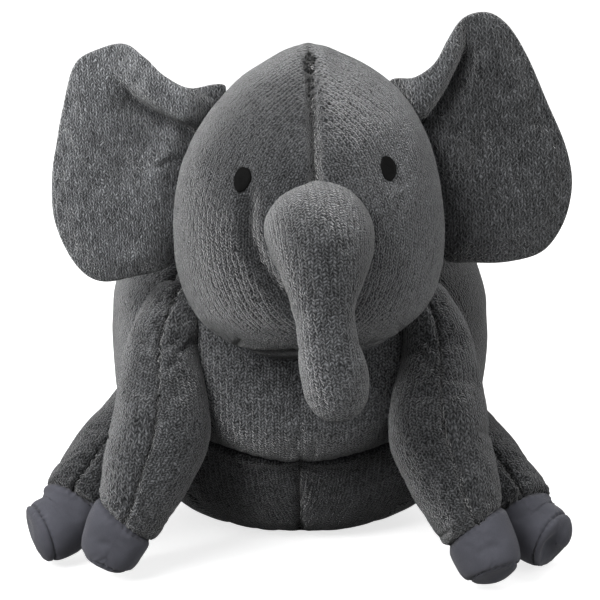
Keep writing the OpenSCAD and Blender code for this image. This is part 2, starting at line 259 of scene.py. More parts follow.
# ---------------------------------------------------------------- meshes
def new_object(name, verts, faces, uvs=None):
    """A smooth mesh object from points in millimetres. uvs has a pair in metres for each face's corners."""
    mesh = bpy.data.meshes.new(name)
    mesh.from_pydata([tuple(v) for v in np.asarray(verts) * MM], [], faces)
    if uvs is not None:
        layer = mesh.uv_layers.new(name="cloth")
        layer.data.foreach_set("uv", np.asarray(uvs, np.float32).ravel())
    mesh.polygons.foreach_set("use_smooth", [True] * len(mesh.polygons))
    mesh.update()
    obj = bpy.data.objects.new(name, mesh)
    bpy.context.scene.collection.objects.link(obj)
    return obj


def panel(name, grid, rows, cols, thick, pose=None, flat=None):
    """One fabric panel of a grid, between two row marks and two column marks, as a closed shell.
    Its cloth lies along the rows and columns, or along the two axes that flat names."""
    i0, i1 = grid.row_at[rows[0]], grid.row_at[rows[1]]
    j0, j1 = grid.col_at[cols[0]], grid.col_at[cols[1]]
    whole = abs(grid.angles[j1] - grid.angles[j0]) > 359.9
    outer = grid.p[i0:i1 + 1, j0:j1 + 1]
    inner = outer - grid.normals()[i0:i1 + 1, j0:j1 + 1] * thick
    if pose is not None:
        outer, inner = pose(outer), pose(inner)
    nr, nc = outer.shape[:2]
    mid = nc // 2
    across = np.linalg.norm(np.diff(outer, axis=1), axis=2)
    u = np.concatenate([np.zeros((nr, 1)), np.cumsum(across, axis=1)], axis=1)
    u -= u[:, mid:mid + 1]
    down = np.linalg.norm(np.diff(outer[:, mid], axis=0), axis=1)
    v = np.repeat(np.concatenate([[0], np.cumsum(down)])[:, None], nc, axis=1)
    drawn = np.stack([u, v], axis=2) if flat is None else grid.p[i0:i1 + 1, j0:j1 + 1][:, :, list(flat)]
    uv = drawn * MM
    keep = nc - 1 if whole else nc
    verts = np.concatenate([outer[:, :keep].reshape(-1, 3), inner[:, :keep].reshape(-1, 3)])
    layer = nr * keep
    faces, corners = [], []

    def at(i, j):
        return i * keep + j % keep

    def quad(keys):
        faces.append([at(i, j) + layer * k for i, j, k in keys])
        corners.extend(uv[i, j] for i, j, k in keys)

    for i in range(nr - 1):
        for j in range(nc - 1):
            quad([(i, j, 0), (i, j + 1, 0), (i + 1, j + 1, 0), (i + 1, j, 0)])
            quad([(i, j, 1), (i + 1, j, 1), (i + 1, j + 1, 1), (i, j + 1, 1)])
    for j in range(nc - 1):
        quad([(0, j, 0), (0, j, 1), (0, j + 1, 1), (0, j + 1, 0)])
        quad([(nr - 1, j, 0), (nr - 1, j + 1, 0), (nr - 1, j + 1, 1), (nr - 1, j, 1)])
    if not whole:
        for i in range(nr - 1):
            quad([(i, 0, 0), (i + 1, 0, 0), (i + 1, 0, 1), (i, 0, 1)])
            quad([(i, nc - 1, 0), (i, nc - 1, 1), (i + 1, nc - 1, 1), (i + 1, nc - 1, 0)])
    obj = new_object(name, verts, faces, corners)
    tone = grid.tone[i0:i1 + 1, j0:j1 + 1][:, :keep].ravel()
    tones = obj.data.attributes.new("tone", "FLOAT", "POINT")
    tones.data.foreach_set("value", np.tile(tone, 2).astype(np.float32))
    return obj


def stuffing(name, grid, inset, rows, step=3, pose=None):
    """Lumpy filling that fits inside a grid, inset from it, between two of its rows. It has a point for
    every few of the grid's, as step says."""
    i0, i1 = rows
    pick = np.unique(np.concatenate([np.arange(i0, i1, step), [i1]]))
    ring = np.arange(0, grid.p.shape[1] - 1, step)
    centre = grid.p.mean(axis=1)[:, None]
    out = grid.p - centre
    radius = np.linalg.norm(out, axis=2)[:, :, None]
    p = (centre + out * np.maximum(1 - inset / np.maximum(radius, 1e-6), 0.25))[pick][:, ring]
    p = p + 0.5 * lumps(p, 9, 1)[:, :, None] * out[pick][:, ring] / 30
    if pose is not None:
        p = pose(p)
    nr, nc = p.shape[:2]
    verts = np.concatenate([p.reshape(-1, 3), [p[0].mean(0)], [p[-1].mean(0)]])
    faces = []
    for i in range(nr - 1):
        for j in range(nc):
            k = (j + 1) % nc
            faces.append([i * nc + j, i * nc + k, (i + 1) * nc + k, (i + 1) * nc + j])
    for j in range(nc):
        k = (j + 1) % nc
        faces.append([nr * nc, k, j])
        faces.append([nr * nc + 1, (nr - 1) * nc + j, (nr - 1) * nc + k])
    return new_object(name, verts, faces)


# The cloth is simulated this many times larger than it is, because the solver suits large cloths
SIM_SCALE = 10
SIM_FRAMES, SIM_PRESSURE = 15, 4.0
HELD_END_ROWS = 3


def puff(skin, slack, cap, held_rows=(), held_cols=()):
    """Cloth simulation of a stuffed skin: its filling presses it out between the seams, which hold still.
    slack is the spare cloth as a share of the skin, and cap is how far a point may move, in millimetres."""
    p = skin.p[:, :-1]
    nr, nc = p.shape[:2]
    faces = [[i * nc + j, i * nc + (j + 1) % nc, (i + 1) * nc + (j + 1) % nc, (i + 1) * nc + j]
             for i in range(nr - 1) for j in range(nc)]
    faces += [list(range(nc))[::-1], [(nr - 1) * nc + j for j in range(nc)]]
    obj = new_object("puffing", p.reshape(-1, 3) * SIM_SCALE, faces)
    held = np.zeros((nr, nc), bool)
    held[:HELD_END_ROWS] = held[-HELD_END_ROWS:] = True
    for i in held_rows:
        held[skin.row_at[i]] = True
    for j in held_cols:
        held[:, skin.col_at[j] % nc] = True
    group = obj.vertex_groups.new(name="held")
    group.add([int(k) for k in np.flatnonzero(held.ravel())], 1.0, "REPLACE")
    cloth = obj.modifiers.new("cloth", "CLOTH")
    settings = cloth.settings
    settings.quality, settings.mass = 4, 0.3
    settings.tension_stiffness = settings.compression_stiffness = 15
    settings.shear_stiffness, settings.bending_stiffness = 5, 0.5
    settings.use_pressure, settings.uniform_pressure_force = True, SIM_PRESSURE
    settings.vertex_group_mass = "held"
    settings.shrink_min = -slack
    settings.effector_weights.gravity = 0
    cloth.collision_settings.use_collision = False
    for frame_number in range(1, SIM_FRAMES + 1):
        bpy.context.scene.frame_set(frame_number)
    result = obj.evaluated_get(bpy.context.evaluated_depsgraph_get()).data
    moved = np.empty(nr * nc * 3, np.float32)
    result.vertices.foreach_get("co", moved)
    step = moved.reshape(nr, nc, 3) / (MM * SIM_SCALE) - p
    far = np.linalg.norm(step, axis=2)
    print("puffed", round(float(far.mean()), 2), "mm on average,", round(float(far.max()), 2), "mm at most")
    step *= (skin.room * cap * np.tanh(far / cap) / np.maximum(far, 1e-6))[:, :, None]
    skin.p = np.concatenate([p + step, (p + step)[:, :1]], axis=1)
    bpy.context.scene.frame_set(1)
    bpy.data.objects.remove(obj)


# ---------------------------------------------------------------- materials
class Nodes:
    """Short calls for building a material's nodes."""

    def __init__(self, name):
        self.material = bpy.data.materials.new(name)
        self.material.use_nodes = True
        self.tree = self.material.node_tree
        self.shader = self.tree.nodes["Principled BSDF"]

    def node(self, kind, **settings):
        n = self.tree.nodes.new(kind)
        for key, value in settings.items():
            setattr(n, key, value)
        return n

    def link(self, value, socket):
        if isinstance(value, bpy.types.NodeSocket):
            self.tree.links.new(value, socket)
        else:
            socket.default_value = value

    def math(self, operation, *values):
        n = self.node("ShaderNodeMath", operation=operation)
        for i, v in enumerate(values):
            self.link(v, n.inputs[i])
        return n.outputs[0]

    def mix(self, *shares):
        """The sum of some values, each times its share."""
        total = 0.0
        for value, share in shares:
            total = self.math("ADD", total, self.math("MULTIPLY", value, share))
        return total

    def noise(self, vector, scale, detail=2.0, rough=0.5, offset=None):
        n = self.node("ShaderNodeTexNoise")
        if offset:
            moved = self.node("ShaderNodeVectorMath", operation="ADD")
            self.link(vector, moved.inputs[0])
            moved.inputs[1].default_value = offset
            vector = moved.outputs[0]
        self.link(vector, n.inputs["Vector"])
        n.inputs["Scale"].default_value = scale
        n.inputs["Detail"].default_value = detail
        n.inputs["Roughness"].default_value = rough
        return n.outputs["Fac"]

    def ramp(self, value, stops):
        n = self.node("ShaderNodeValToRGB")
        self.link(value, n.inputs[0])
        elements = n.color_ramp.elements
        while len(elements) < len(stops):
            elements.new(0.5)
        for e, (at, colour) in zip(elements, stops):
            e.position, e.color = at, (*colour, 1)
        return n.outputs[0]

    def bump(self, height, distance, strength=1.0):
        n = self.node("ShaderNodeBump")
        n.inputs["Distance"].default_value = distance
        n.inputs["Strength"].default_value = strength
        self.link(height, n.inputs["Height"])
        self.link(n.outputs[0], self.shader.inputs["Normal"])

    def set(self, **sockets):
        for key, value in sockets.items():
            self.link(value, self.shader.inputs[key.replace("_", " ")])


# Width of a column of stitches, and height of a row
WALE = 3.0 * MM
COURSE = 1.55 * MM
# Each step of the pile: the tone at which it lies, and how many times the cloth's shade it is
PILE_STEPS = ((0.32, 0.14), (0.47, 0.52), (0.63, 1.12), (0.88, 2.7))
# The grey is a little blue
KNIT_TINT = (0.97, 1.0, 1.045)


def knit(name, shade, wale=WALE, course=COURSE, sheen=0.88, steep=2.0):
    """Chenille knit: columns of V stitches in fuzzy strands, each a little lighter or darker than the next.
    sheen is how much light the pile's tips catch, and steep is how far a stitch's legs slope."""
    m = Nodes(name)
    cloth = m.node("ShaderNodeUVMap", uv_map="cloth").outputs[0]
    place = m.node("ShaderNodeTexCoord").outputs["Object"]
    xyz = m.node("ShaderNodeSeparateXYZ")
    m.link(cloth, xyz.inputs[0])
    wobble = m.math("SUBTRACT", m.noise(place, 420, 2.0, 0.6), 0.5)
    sway = m.math("SUBTRACT", m.noise(place, 330, 2.0, 0.6, offset=(0.3, 0.7, 0.1)), 0.5)
    drift = m.math("SUBTRACT", m.noise(place, 70, 1.0), 0.5)
    x = m.math("ADD", m.math("DIVIDE", xyz.outputs[0], wale), m.math("MULTIPLY", wobble, 1.1))
    half = m.math("ABSOLUTE", m.math("SUBTRACT", m.math("FRACT", x), 0.5))
    rows = m.math("ADD", m.math("DIVIDE", xyz.outputs[1], course), m.math("MULTIPLY", half, steep))
    y = m.math("ADD", rows, m.math("ADD", m.math("MULTIPLY", sway, 1.5), drift))
    legs = m.math("MULTIPLY", x, 2.0)
    across = m.math("SINE", m.math("MULTIPLY", m.math("FRACT", legs), math.pi))
    down = m.math("SINE", m.math("MULTIPLY", m.math("FRACT", y), math.pi))
    strand = m.math("MULTIPLY", m.math("POWER", across, 0.8), m.math("POWER", down, 1.2))
    cell = m.node("ShaderNodeCombineXYZ")
    m.link(m.math("FLOOR", legs), cell.inputs[0])
    m.link(m.math("FLOOR", y), cell.inputs[1])
    each = m.node("ShaderNodeTexWhiteNoise", noise_dimensions="3D")
    m.link(cell.outputs[0], each.inputs["Vector"])
    fibre = m.noise(place, 1700, 3.0, 0.75)
    patch = m.noise(place, 150, 3.0, 0.6)
    tone = m.mix((strand, 0.42), (each.outputs["Value"], 0.18), (fibre, 0.42), (patch, 0.22))
    colour = m.node("ShaderNodeVectorMath", operation="SCALE")
    m.link(m.ramp(tone, [(at, tuple(k * shade * c for c in KNIT_TINT)) for at, k in PILE_STEPS]),
           colour.inputs[0])
    # The point's tone attribute, painted light and shade, scales the colour
    m.link(m.node("ShaderNodeAttribute", attribute_name="tone").outputs["Fac"], colour.inputs["Scale"])
    m.set(Base_Color=colour.outputs[0])
    m.set(Roughness=1.0, Specular_IOR_Level=0.0, Sheen_Weight=sheen, Sheen_Roughness=0.36)
    m.bump(m.mix((strand, 0.9), (fibre, 0.6)), 0.8 * MM, 0.85)
    return m.material


def twill(name, colour):
    """Smooth fine woven fabric of the feet."""
    m = Nodes(name)
    place = m.node("ShaderNodeTexCoord").outputs["Object"]
    cloth = m.node("ShaderNodeUVMap", uv_map="cloth").outputs[0]
    xyz = m.node("ShaderNodeSeparateXYZ")
    m.link(cloth, xyz.inputs[0])
    thread = 0.45 * MM
    slope = m.math("ADD", m.math("DIVIDE", xyz.outputs[0], thread), m.math("DIVIDE", xyz.outputs[1], thread))
    rib = m.math("SINE", m.math("MULTIPLY", slope, 2 * math.pi))
    grain = m.noise(place, 2200, 2.0, 0.6)
    cloud = m.noise(place, 90, 2.0, 0.5)
    tone = m.mix((rib, 0.06), (grain, 0.4), (cloud, 0.5))
    lo, hi = tuple(c * 0.75 for c in colour), tuple(c * 1.3 for c in colour)
    m.set(Base_Color=m.ramp(tone, [(0.2, lo), (0.75, hi)]))
    m.set(Roughness=0.85, Specular_IOR_Level=0.15, Sheen_Weight=0.15, Sheen_Roughness=0.4)
    m.bump(m.mix((rib, 0.5), (grain, 1.0)), 0.12 * MM, 0.6)
    return m.material


def satin(name, shade):
    """Dense black embroidery thread."""
    m = Nodes(name)
    place = m.node("ShaderNodeTexCoord").outputs["Object"]
    grain = m.noise(place, 1800, 2.0, 0.6)
    m.set(Base_Color=m.ramp(grain, [(0.3, (shade * 0.6,) * 3), (0.8, (shade * 1.8,) * 3)]))
    m.set(Roughness=0.6, Specular_IOR_Level=0.06)
    m.bump(grain, 0.1 * MM, 0.5)
    return m.material


def fibre_fill(name, colour, scale=420):
    """Loose fibre, or a bag of pellets at a finer scale."""
    m = Nodes(name)
    place = m.node("ShaderNodeTexCoord").outputs["Object"]
    web = m.noise(place, scale, 5.0, 0.7)
    m.set(Base_Color=m.ramp(web, [(0.3, tuple(c * 0.75 for c in colour)), (0.7, colour)]))
    m.set(Roughness=1.0, Sheen_Weight=0.4)
    m.bump(web, 1.0 * MM, 0.8)
    return m.material


KNIT = knit("chenille_knit", 0.095)
KNIT_HEAD = knit("chenille_knit_head", 0.086, 2.5 * MM, 1.4 * MM, sheen=0.82)
# Painted shade: a copy of the knit with less sheen, so the front legs come out darker
KNIT_LEG = knit("chenille_knit_leg", 0.095, sheen=0.7)
# A darker copy of the knit with less sheen: painted shade for the belly, the seat and the hind legs
KNIT_PAINTED_SHADE = knit("chenille_knit_painted_shade", 0.06, sheen=0.45)
# Lit and shaded copies of the ear knit: the left ear's is painted lighter and the right ear's darker, and
# their stitches differ a little in size
KNIT_EAR = {"left": knit("chenille_knit_ear_left_painted_light", 0.2, 2.3 * MM, 1.7 * MM, sheen=1.0, steep=2.6),
            "right": knit("chenille_knit_ear_right_painted_shade", 0.078, 2.7 * MM, 2.0 * MM, sheen=1.0, steep=2.6)}
TWILL = twill("foot_twill", (0.095, 0.096, 0.115))
EYE = satin("eye_satin", 0.003)
THREAD = satin("sewing_thread", 0.02)
FILL = fibre_fill("polyester_fibre", (0.85, 0.85, 0.83))
PELLETS = fibre_fill("pellet_cloth", (0.7, 0.72, 0.75), 900)


# Thickness of the knit, of the woven feet, of an eye's stitching and of the tail's thin cover
COVER, FOOT_CLOTH, EYE_CLOTH, TAIL_COVER = 1.6, 0.9, 0.9, 1.1
THREAD_SIDES, THREAD_RINGS = 6, 7


def dress(obj, material, node):
    obj.data.materials.append(material)
    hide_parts(node)


def stuffed(obj, material, node):
    dress(obj, material, node)


def sewing(name, stitches, radius, node):
    """Short bowed threads, each from one point to another, as one mesh."""
    verts, faces = [], []
    for a, b in stitches:
        way = (b - a) / np.linalg.norm(b - a)
        side = np.cross(way, [0.3, 0.2, 0.93])
        side /= np.linalg.norm(side)
        up = np.cross(way, side)
        first = len(verts)
        for k in range(THREAD_RINGS):
            f = k / (THREAD_RINGS - 1)
            r = radius * (0.25 + 0.75 * math.sin(math.pi * f))
            for j in range(THREAD_SIDES):
                t = 2 * math.pi * j / THREAD_SIDES
                verts.append(a + (b - a) * f + r * (math.cos(t) * side + math.sin(t) * up))
        for k in range(THREAD_RINGS - 1):
            for j in range(THREAD_SIDES):
                i, n = first + k * THREAD_SIDES, (j + 1) % THREAD_SIDES
                faces.append([i + j, i + n, i + THREAD_SIDES + n, i + THREAD_SIDES + j])
        faces.append([first + j for j in range(THREAD_SIDES)][::-1])
        faces.append([first + (THREAD_RINGS - 1) * THREAD_SIDES + j for j in range(THREAD_SIDES)])
    dress(new_object(name, verts, faces), THREAD, node)


def metres_in_head(x):
    """A point at the ears' height and depth, at x across the head."""
    return head_pose(np.array([x, EAR_Y, EAR_MID[1]]))


def move(name, bodies, start=None, end=None):
    """Rides on one body, or, given two, has its placement baked into its mesh; start and end are not used.
    """
    obj = bpy.data.objects[name]
    if len(bodies) == 1:
        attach(obj, bodies[0])
    else:
        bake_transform(obj)


# ---------------------------------------------------------------- torso
# [height, front y, back y, half width] as shares of the torso's height, depth and width
TORSO_PROFILE = [
    (0.004, -0.20, 0.27, 0.185), (0.020, -0.245, 0.325, 0.255), (0.075, -0.325, 0.395, 0.356),
    (0.175, -0.385, 0.462, 0.452), (0.280, -0.425, 0.493, 0.482), (0.360, -0.545, 0.497, 0.493),
    (0.470, -0.555, 0.493, 0.500), (0.613, -0.520, 0.471, 0.503), (0.740, -0.470, 0.420, 0.490),
    (0.850, -0.370, 0.335, 0.432), (0.938, -0.215, 0.214, 0.290), (0.990, -0.090, 0.105, 0.120),
    (1.000, -0.020, 0.040, 0.004),
]
torso_rows = [(0, (f + b) / 2 * TORSO_D, h * TORSO_H, w * TORSO_W, (b - f) / 2 * TORSO_D)
              for h, f, b, w in TORSO_PROFILE]
# Half of the angle that the chest and belly take up at the front
FRONT_EDGE = 46
# Share of the skin's run at which the chest's lower edge lies, and how far it sweeps up towards the legs
CHEST_EDGE, CHEST_SWEEP = 0.305, 6.0
torso = Grid(torso_rows, [0, CHEST_EDGE, 1], [40, 80],
             [-90 - FRONT_EDGE, -90, -90 + FRONT_EDGE, 90, 270 - FRONT_EDGE], [30, 30, 66, 66], level=True)
sweep = CHEST_SWEEP * np.minimum((torso.p[:, :, 0] / 38) ** 2, 1.7) * (torso.p[:, :, 1] < 0)
edge_z = torso.p[torso.row_at[1], 0, 2]
torso.p[:, :, 2] += sweep * np.exp(-((torso.p[:, :, 2] - edge_z) / 17) ** 2)
torso_push = (torso.seam(1, rows=(0, 1), depth=1.6) + torso.seam(3, depth=1.8)
              + torso.seam(0, depth=1.2) + torso.seam(2, depth=1.2) + torso.seam(4, depth=1.2)
              + torso.seam(1, cols=(0, 2), depth=2.0, width=2.4)
              + 1.1 * lumps(torso.p, 34, 1) + 0.5 * lumps(torso.p, 13, 2))
puff(torso, 0.03, 3.5, held_rows=(1,), held_cols=(0, 1, 2, 3))
torso.push(torso_push)
# Painted shade: the side away from the key light is painted darker
torso.tone *= 1 - 0.6 * smooth(torso.p[:, :, 0], 30, 75)
neck_low, neck_high = NECK - 26 * NECK_AXIS, NECK + 4 * NECK_AXIS
TORSO_PANELS = [("torso_panel_left", (0, 2), (3, 4)), ("torso_panel_right", (0, 2), (2, 3)),
                ("belly_panel_left", (0, 1), (0, 1)), ("belly_panel_right", (0, 1), (1, 2)),
                ("chest_panel", (1, 2), (0, 2))]
for node, rows, cols in TORSO_PANELS:
    cloth = KNIT_PAINTED_SHADE if node.startswith("belly") else KNIT
    stuffed(panel(node + "_knit", torso, rows, cols, COVER), cloth, node)
    move(node + "_knit", ("torso", "neck"), neck_low, neck_high)

seat_middle = torso.centre[0]
seat_rings = [seat_middle + (torso.p[0, :-1] - seat_middle) * k for k in np.linspace(0.002, 1, 12)]
seat = Plate(np.array(seat_rings), (0, 0, -1))
seat.p[:, :, 2] = 0.25 + 0.25 * lumps(seat.p, 9, 40)
stuffed(panel("seat_panel_knit", seat, (0, 1), (0, 1), COVER, flat=(0, 1)), KNIT_PAINTED_SHADE, "seat_panel")
move("seat_panel_knit", ("torso",))

pellet_top = box_mm("pellet_bag")[1][2]
# The filling starts a little above the pellets
PELLET_ROW, FILL_ROW = (int(np.searchsorted(torso.centre[:, 2], level))
                        for level in (pellet_top, pellet_top + 0.04 * TORSO_H))
last = len(torso.p) - 1
stuffed(stuffing("pellet_bag_cloth", torso, 6, (3, PELLET_ROW)), PELLETS, "pellet_bag")
move("pellet_bag_cloth", ("torso",))
stuffed(stuffing("torso_filling_fibre", torso, 4.5, (FILL_ROW, last - 14)), FILL, "torso_filling")
move("torso_filling_fibre", ("torso", "neck"), neck_low, neck_high)

# The closing stitch is a ladder of threads across the back seam
BACK_SEAM = 3
HALF_RUNG = np.array([2.1, 0, 0])
ladder = [(torso.p[i, torso.col_at[BACK_SEAM]] - HALF_RUNG + [0, 0.5, 0],
           torso.p[i, torso.col_at[BACK_SEAM]] + HALF_RUNG + [0, 0.5, 1.2]) for i in range(52, 77, 2)]
sewing("closing_stitch_thread", ladder, 0.45, "closing_stitch")
move("closing_stitch_thread", ("torso",))

# ---------------------------------------------------------------- head
head_lo, head_hi = box_mm("head_panel_left", "head_panel_right", "chin_panel")
HEAD_W = 0.985 * (head_hi[0] - head_lo[0])
HEAD_BASE = head_lo[2] + 1.5
HEAD_H = head_hi[2] - HEAD_BASE
# [height, front y, back y, half width]: the height as a share of the head's, the y in millimetres
HEAD_PROFILE = [
    (0.000, -104, -100, 0.004), (0.012, -111, -88, 0.150), (0.050, -119, -76, 0.290),
    (0.141, -126, -60, 0.425), (0.245, -129, -47, 0.480), (0.378, -130, -40, 0.500),
    (0.526, -130, -39, 0.487), (0.667, -126, -43, 0.441), (0.785, -117, -50, 0.366),
    (0.889, -106, -60, 0.244), (0.963, -96, -68, 0.108), (0.992, -88, -77, 0.032),
    (1.000, -83.5, -82.5, 0.004),
]
EYE_AT, EYE_Z = {"left": -28.4, "right": 32.6}, 191.8
EYE_WIDE, EYE_TALL = 6.6, 10.7
EYE_LEAN = {"left": math.radians(24), "right": math.radians(13)}
# The crown leans to the head's right side by this much
CROWN_LEAN = 4.5
CROWN_FROM = 0.45
head_rows = [(CROWN_LEAN * max(h - CROWN_FROM, 0) / (1 - CROWN_FROM), (f + b) / 2, HEAD_BASE + h * HEAD_H,
              w * HEAD_W, (b - f) / 2) for h, f, b, w in HEAD_PROFILE]
head = Grid(head_rows, [0, 0.17, 1], [24, 100], [-90, 90, 270], [84, 84], level=True)
puff(head, 0.02, 2.5, held_rows=(1,), held_cols=(0, 1))
CHEEK_CREASE = [(-27, 184), (-28, 170), (-24, 157), (-17, 146), (-10, 137)]
eye_dents = sum(np.exp(-(((head.p[:, :, 0] - x) / 9) ** 2 + ((head.p[:, :, 2] - EYE_Z) / 11) ** 2))
                for x in EYE_AT.values()) * (head.p[:, :, 1] < -90)
crown_dent = np.exp(-((head.p - np.array([19, -100, 236])) ** 2).sum(axis=2) / 30)
head.push(head.seam(0, rows=(1, 2), depth=1.7, width=2.4) + head.seam(1, rows=(1, 2), depth=1.6)
          + head.seam(2, rows=(1, 2), depth=1.7, width=2.4)
          + head.seam(1, cols=(0, 2), depth=1.6)
          + head.line(CHEEK_CREASE, 3.2, 3.0) - 1.4 * eye_dents - 2.6 * crown_dent
          + 0.9 * lumps(head.p, 30, 3) + 0.4 * lumps(head.p, 12, 4))
# Painted light and shade: the head's right side is painted lighter and its top a little darker
head.tone *= 0.86 + 0.8 * smooth(head.p[:, :, 0], -10, 60) - 0.05 * smooth(head.p[:, :, 2], 185, 225)
HEAD_PANELS = [("head_panel_right", (1, 2), (0, 1)), ("head_panel_left", (1, 2), (1, 2)),
               ("chin_panel", (0, 1), (0, 2))]
head_start, head_end = NECK - 2 * NECK_AXIS, NECK + 22 * NECK_AXIS
for node, rows, cols in HEAD_PANELS:
    stuffed(panel(node + "_knit", head, rows, cols, COVER, head_pose), KNIT_HEAD, node)
    move(node + "_knit", ("neck", "head"), head_start, head_end)
last = len(head.p) - 1
stuffed(stuffing("head_filling_fibre", head, 4.5, (8, last - 16), pose=head_pose), FILL,
        "head_filling")
move("head_filling_fibre", ("neck", "head"), head_start, head_end)

# Embroidered eyes: ovals of satin stitch whose threads run across
head_tree = head.solid()
for side, sign in (("left", -1), ("right", 1)):
    rings = []
    lean = EYE_LEAN[side]
    for r in np.linspace(0.01, 1, 42):
        ring = []
        for a in np.linspace(0, 2 * math.pi, 97)[:-1]:
            ragged = 1 + 0.035 * math.sin(3 * a + 1 + sign) + 0.02 * math.sin(7 * a + sign)
            across, along = r * ragged * EYE_WIDE / 2 * math.cos(a), r * ragged * EYE_TALL / 2 * math.sin(a)
            x = EYE_AT[side] + across * math.cos(lean) - sign * along * math.sin(lean)
            z = EYE_Z + sign * across * math.sin(lean) + along * math.cos(lean)
            hit, normal = head_tree.ray_cast(Vector((x, -300, z)), Vector((0, 1, 0)))[:2]
            normal = normal if normal.y < 0 else -normal
            thread = 0.16 * abs(math.sin(math.pi * (along + 0.12 * across) / 0.62))
            ring.append(hit + normal * (0.1 + 1.2 * math.sqrt(max(1 - r ** 3, 0)) + thread))
        rings.append(ring)
    eye = Plate(np.array(rings), (0, -1, 0))
    stuffed(panel(f"eye_{side}_satin", eye, (0, 1), (0, 1), EYE_CLOTH, head_pose, flat=(0, 2)), EYE,
            f"eye_{side}")
    move(f"eye_{side}_satin", ("neck", "head"), head_start, head_end)

# ---------------------------------------------------------------- neck
torso_tree = torso.solid()
posed_head = Plate(head_pose(head.p[:, :-1]), (0, 0, 1))
head_world = posed_head.solid()
neck_side = np.array([1.0, 0, 0])
neck_front = np.cross(NECK_AXIS, neck_side)


def crossing(tree, place, way):
    """How far out along way the skin lies, seen from outside."""
    hit = tree.ray_cast(Vector(place + 200 * way), Vector(-way))
    return 200 - hit[3] if hit[0] else 0


def neck_groove(angle):
    """The deepest point between torso and head at an angle round the neck."""
    way = math.cos(angle) * neck_side + math.sin(angle) * neck_front
    best = None
    for rise in np.linspace(-24, 24, 33):
        place = NECK + rise * NECK_AXIS
        out = max(crossing(torso_tree, place, way), crossing(head_world, place, way))
        if best is None or out < best[0]:
            best = (out, place + out * way, way)
    return best[1:]


# Short threads across the groove, sunk a little into it
NECK_STITCHES, NECK_SUNK, HALF_STITCH = 30, 0.3, 1.5 * NECK_AXIS
neck_sewing = []
for angle in np.linspace(0, 2 * math.pi, NECK_STITCHES + 1)[:-1]:
    groove, way = neck_groove(angle)
    neck_sewing.append((groove - NECK_SUNK * way - HALF_STITCH, groove - NECK_SUNK * way + HALF_STITCH))
sewing("neck_stitch_thread", neck_sewing, 0.6, "neck_stitch")
move("neck_stitch_thread", ("torso", "neck"), neck_low, neck_high)
neck_rows = [(*(NECK + k * NECK_AXIS), r, r) for k, r in ((-6, 1), (-5.5, 17), (0, 20), (4, 17), (4.5, 1))]
neck_plug = Grid(neck_rows, [0, 1], [20], [-90, 270], [48])
stuffed(stuffing("neck_filling_fibre", neck_plug, 0.2, (0, 20), step=2), FILL, "neck_filling")
move("neck_filling_fibre", ("torso", "neck"), neck_low, neck_high)

# ---------------------------------------------------------------- trunk
TRUNK_ROWS = [
    (1.0, -108, 170, 19, 17), (1.2, -122, 170, 21.5, 19.5), (1.5, -134.5, 167.5, 22.3, 20.5),
    (1.5, -143.5, 161, 20.5, 19.5), (1.0, -149, 151.5, 16.4, 16), (0.6, -151.5, 140, 13, 12.6),
    (1.2, -151.5, 127, 12.7, 12.3), (2.6, -149.5, 114, 13.9, 13.2), (4.4, -146.5, 103, 12.8, 12),
    (6.0, -144, 96.5, 8.5, 8), (6.6, -143, 94, 0.3, 0.3),
]
trunk = Grid(TRUNK_ROWS, [0, 1], [110], [-38, 218, 322], [70, 26])
puff(trunk, 0.02, 1.5, held_cols=(0, 1))
trunk.push(trunk.seam(0, depth=1.3) + trunk.seam(1, depth=1.3) + trunk.seam(2, depth=1.3)
           + 0.7 * lumps(trunk.p, 16, 5) + 0.25 * lumps(trunk.p, 7, 6))
# Painted light: the trunk's lower part is painted lighter than its root
trunk.tone *= 1.3 - 0.5 * smooth(trunk.p[:, :, 2], 110, 165)
trunk_root = joint_mm("trunk_lift")
trunk_bend = (trunk_root + [0, 14, 4], trunk_root + [0, -8, -16])
for node, cols in (("trunk_top_panel", (0, 1)), ("trunk_underside", (1, 2))):
    stuffed(panel(node + "_knit", trunk, (0, 1), cols, COVER, head_pose), KNIT, node)
    move(node + "_knit", ("head", "trunk"), *trunk_bend)
stuffed(stuffing("trunk_filling_fibre", trunk, 3.5, (8, 100), pose=head_pose), FILL,
        "trunk_filling")
move("trunk_filling_fibre", ("head", "trunk"), *trunk_bend)

# ---------------------------------------------------------------- ears
# Outward and upward from the head's middle. The last points run down the sewn root.
EAR_OUTLINE = {
    "left": [(31, 224), (46, 225.5), (57, 232), (65, 240), (73, 246), (84, 245), (96, 239), (103, 220),
             (107, 205), (110, 192), (111, 174), (107, 158), (100, 146), (91, 141), (78, 142), (62, 145),
             (52, 157), (49, 184), (38, 206)],
    "right": [(40, 221), (50, 224), (58, 229), (65, 239), (73, 247), (84, 249), (93, 243), (101, 229),
              (109, 208), (116, 189), (118.5, 173), (116, 158), (110, 146), (102, 139), (88, 136),
              (74, 136.5), (60, 139), (54, 156), (52, 182), (44, 204)],
}
EAR_FOLD = {
    "left": [(40, 203), (49, 210), (62, 218), (73, 227), (84, 231)],
    "right": [(42, 200), (54, 206), (62, 218), (70, 232), (79, 249)],
}
EAR_CREASE = {"left": [(54, 207), (62, 194), (70, 181)], "right": [(56, 200), (64, 186), (68, 172)]}
EAR_MID = np.array([78, 190])
# Depth at the root, half thickness, and how far the tip curls, the top margin rolls and its lip hangs
EAR_Y, EAR_THICK, EAR_CURL, EAR_ROLL, EAR_LIP = -70, 5.0, 8, 11, 3.5
EAR_RINGS = 45
# The wadding ends before the rim, and is this share of the ear's thickness
WAD_RINGS, WAD_SHARE = 34, 0.35
EAR_ROOT_X, EAR_TIP_X = 55, 116


